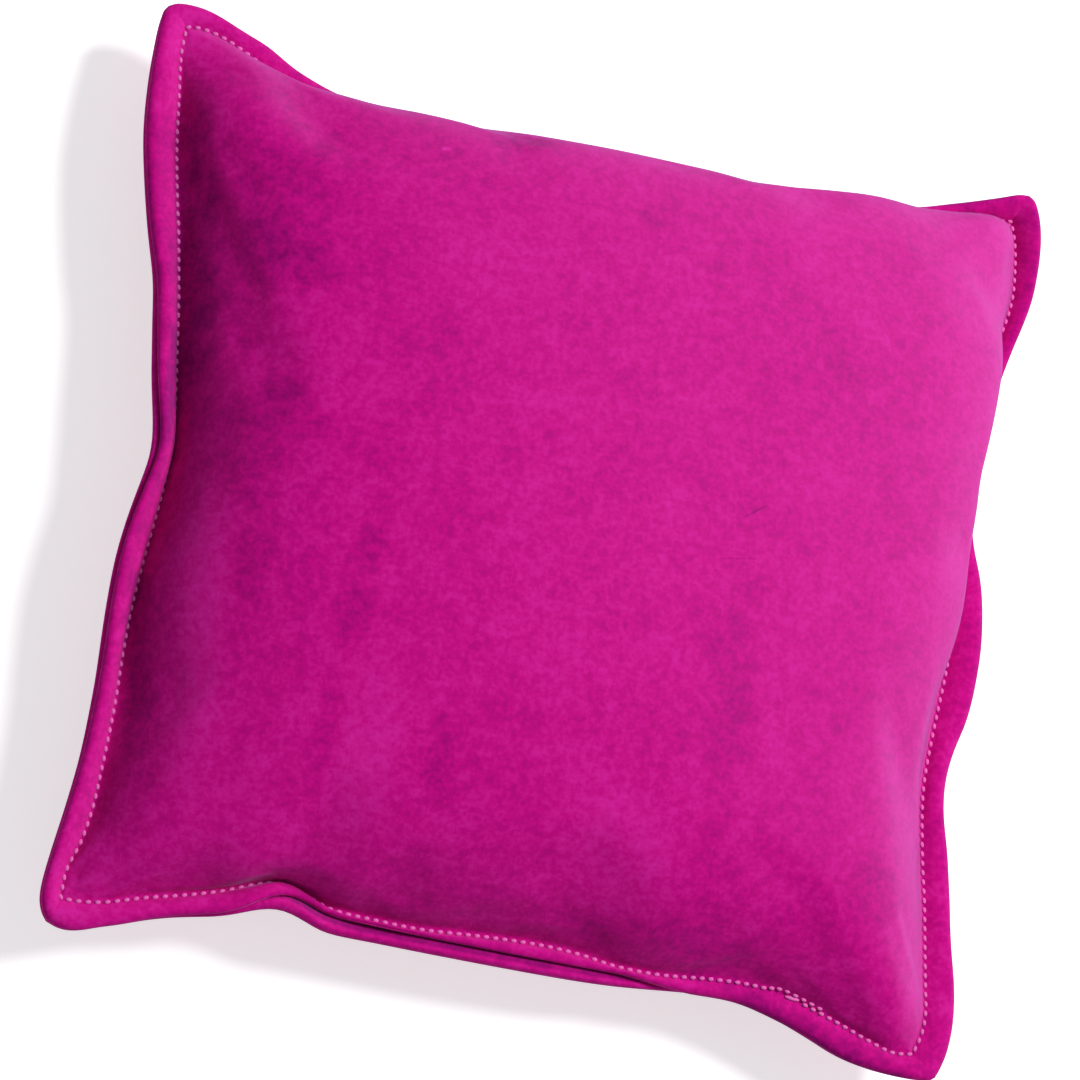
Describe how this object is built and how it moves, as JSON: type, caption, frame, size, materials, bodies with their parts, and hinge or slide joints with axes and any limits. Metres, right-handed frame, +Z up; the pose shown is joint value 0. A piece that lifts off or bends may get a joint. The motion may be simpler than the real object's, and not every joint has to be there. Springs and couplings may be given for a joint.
{
  "type": "toss bean bag",
  "caption": "Plump square toss bean bag in suede-like magenta cloth, with turned-in topstitched edges, drawn-in sides and short corner points",
  "frame": {"origin": "on the surface that the bag lies on, under the middle of its bounding box", "axes": "+Z up through the crown, +X to the right and +Y away along the sides of the square, as in the picture"},
  "size_m": [0.1553, 0.1517, 0.0379],
  "materials": {
    "magenta_suede": "brushed suede nap, matt with a soft sheen",
    "pale_pink_thread": "twisted polyester thread, slightly glossy",
    "fill_pellets": "loose rounded pellets, matt"
  },
  "bodies": {
    "root": {"top_panel": "magenta_suede", "bottom_panel": "magenta_suede", "fill": "fill_pellets", "seam_needle_thread": "pale_pink_thread", "seam_bobbin_thread": "pale_pink_thread", "topstitch_needle_thread": "pale_pink_thread", "topstitch_bobbin_thread": "pale_pink_thread"}
  },
  "joints": []
}
